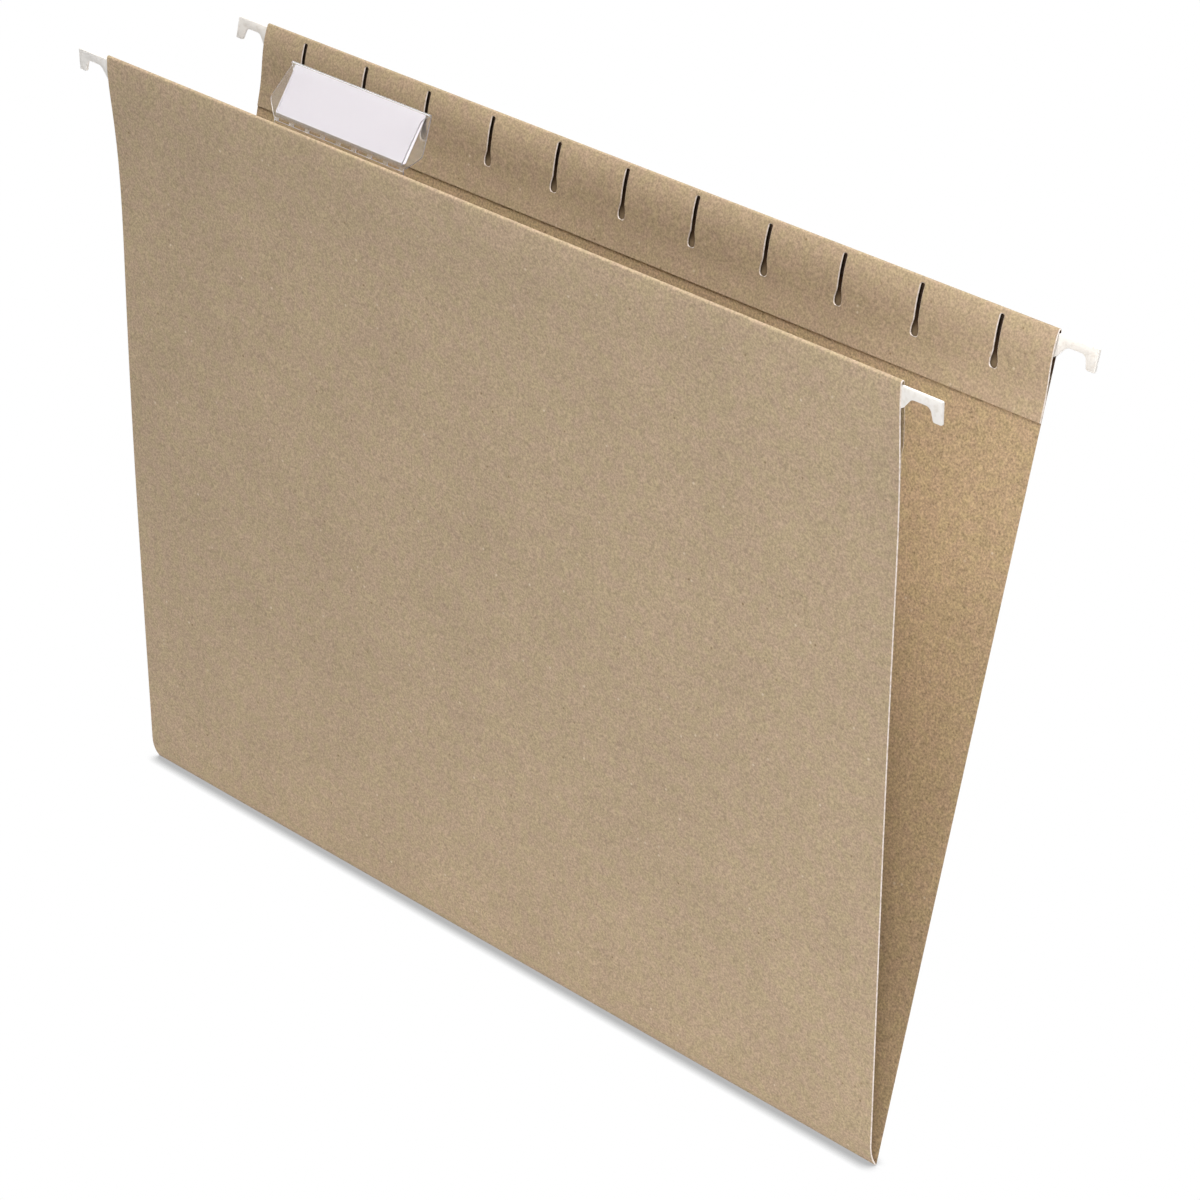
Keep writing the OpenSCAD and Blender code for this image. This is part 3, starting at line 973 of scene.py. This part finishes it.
def makeTabHinge():    # bridges left between the slits of the bend line
    baseWay = lineOf("front_panel")[1]
    windowWay = (tabPlace.to_3x3() @ Vector((0, 0, 1))).yz
    reach = indexTab["hinge"]
    path = [tabBend.yz - baseWay * reach]
    runTo(path, tabBend.yz - baseWay * reach * indexTab["bridgeBend"])
    runTo(path, tabBend.yz + windowWay * reach * indexTab["bridgeBend"])
    runTo(path, tabBend.yz + windowWay * reach)
    piece = pullSheet("tabHingeBridges", path, [indexTab["foot"]] * len(path), indexTab["cells"])
    openEdit(piece)
    cell = indexTab["foot"] / indexTab["cells"]
    pickFaces(piece, lambda spot: int((spot.x + indexTab["foot"] / 2) / cell) % indexTab["bridgeEvery"])
    bpy.ops.mesh.delete(type="FACE")
    bpy.ops.mesh.select_mode(type="VERT")
    bpy.ops.mesh.select_all(action="SELECT")
    bpy.ops.transform.translate(value=(tabPlace.translation.x, 0, 0))
    closeEdit()
    clearSolid(piece, bentVinyl)
    smooth(piece)
    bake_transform(piece)


makeWindow()
makeBase()
makeTabHinge()
print("index tab made")


# Label card, with barely rounded corners
labelPaper = {"cornerRound": 0.5 * mm, "roundSteps": 3}


def makeLabel():
    low, high = boxIn("label_insert", tabPlace)
    piece = addPlate("labelInsertCard", low, high)
    openEdit(piece)
    bpy.ops.mesh.select_all(action="SELECT")
    bpy.ops.mesh.bevel(offset=labelPaper["cornerRound"], offset_type="OFFSET",
                       segments=labelPaper["roundSteps"], affect="VERTICES")
    giveDepth(high.y - low.y)
    closeEdit()
    settle(piece, tabPlace)
    dress(piece, labelCard)
    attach(piece, "label")
    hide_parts("label_insert")


makeLabel()
print("label made")


# Stage: a floor seen only as the contact shadow on it, a white surround and soft lamps
stage = {
    "size": 3, "gap": 0.05 * mm, "white": "#F1F3F7", "shadow": "#14161C",
    "contact": 5 * mm, "samples": 16,          # how far the contact shadow reaches
    "open": (0.42, 0.9), "deepest": 0.47,      # from darkest to none, and what is seen through the darkest
    "glowNearFold": (200 * mm, 0.27),                # painted glow: near the fold the floor gives off light, less and less over this distance
    "aim": (0.05, 0, -0.1),
}
lamps = {
    "top": {"spot": (-0.1, -0.25, 0.7), "size": 0.6, "power": 6.5},
    "mouth": {"spot": (0.15, -0.1, 0.5), "size": 0.3, "power": 1.65},
    "side": {"spot": (0.76, -0.6, 0.1), "size": 0.55, "power": 4.6},
    "back": {"spot": (-0.35, 0.85, 0.35), "size": 0.8, "power": 5},
    "backSide": {"spot": (0.4, 0.8, 0.15), "size": 0.8, "power": 3},
}


def seenRay(tree):    # 1 for what is looked at: straight, mirrored or through the clear sheet
    path = addNode(tree, "ShaderNodeLightPath").outputs
    seen = path["Is Camera Ray"]
    for kind in ("Is Glossy Ray", "Is Transmission Ray"):
        seen = addMath(tree, "MAXIMUM", seen, path[kind])
    return seen


def addFloor(height):
    clearSelection()
    bpy.ops.mesh.primitive_plane_add(size=stage["size"], location=(0, 0, height))
    floor = newName("stageFloor")
    bpy.ops.object.transform_apply(location=True, rotation=True, scale=True)
    material = bpy.data.materials.new("whiteFloor")
    tree = emptyTree(material)
    spot = addNode(tree, "ShaderNodeTexCoord").outputs["Object"]
    axes = addNode(tree, "ShaderNodeSeparateXYZ", links={0: spot}).outputs
    aside = addNode(tree, "ShaderNodeMath", links={0: axes[0]}, operation="ABSOLUTE").outputs[0]
    past = addMath(tree, "SUBTRACT", aside, sides["front"]["width"] / 2)
    beyond = addMath(tree, "MAXIMUM", past, 0)
    ahead = addMath(tree, "SUBTRACT", axes[1], jointSpot("bottom_fold").y)
    flat = addNode(tree, "ShaderNodeCombineXYZ", links={0: beyond, 1: ahead})
    away = addNode(tree, "ShaderNodeVectorMath", links={0: flat.outputs[0]}, operation="LENGTH")
    bounced = addNode(tree, "ShaderNodeLightPath").outputs["Is Diffuse Ray"]
    white = addNode(tree, "ShaderNodeBsdfDiffuse", {"Color": hexColour(stage["white"])})
    # Painted light: for diffuse rays the floor glows near the fold, lighting the folder's lower edge from
    # below as a lamp would.
    near = addRange(tree, away.outputs["Value"], (0, stage["glowNearFold"][0]), (stage["glowNearFold"][1], 0))
    glowShader = addNode(tree, "ShaderNodeEmission", links={"Strength": near})
    bright = addNode(tree, "ShaderNodeAddShader", links={0: white.outputs[0], 1: glowShader.outputs[0]})
    contact = addNode(tree, "ShaderNodeAmbientOcclusion", {"Distance": stage["contact"]},
                      samples=stage["samples"])
    level = addRange(tree, contact.outputs["AO"], stage["open"], (stage["deepest"], 1))
    dark = addNode(tree, "ShaderNodeBsdfDiffuse", {"Color": hexColour(stage["shadow"])})
    clear = addNode(tree, "ShaderNodeBsdfTransparent")
    shadow = addNode(tree, "ShaderNodeMixShader",
                     links={0: level, 1: dark.outputs[0], 2: clear.outputs[0]})
    both = addNode(tree, "ShaderNodeMixShader",
                   links={0: bounced, 1: shadow.outputs[0], 2: bright.outputs[0]})
    addNode(tree, "ShaderNodeOutputMaterial", links={"Surface": both.outputs[0]})
    dress(floor, material)


def addSurround():
    world = bpy.data.worlds.new("whiteSurround")
    bpy.context.scene.world = world
    tree = emptyTree(world)
    light = addNode(tree, "ShaderNodeBackground", {"Color": (1, 1, 1, 1)}, {"Strength": seenRay(tree)})
    addNode(tree, "ShaderNodeOutputWorld", links={"Surface": light.outputs[0]})


def addLamp(name):
    lamp = lamps[name]
    turn = (Vector(stage["aim"]) - Vector(lamp["spot"])).to_track_quat("-Z", "Y")
    clearSelection()
    bpy.ops.object.light_add(type="AREA", location=lamp["spot"], rotation=turn.to_euler())
    light = bpy.context.object
    light.name = name + "Lamp"
    light.data.size = lamp["size"]
    light.data.energy = lamp["power"]


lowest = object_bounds()[0]
addFloor(lowest[2] - stage["gap"])
addSurround()
for lampName in lamps:
    addLamp(lampName)
bpy.context.scene.view_settings.view_transform = "Standard"
print("stage set")
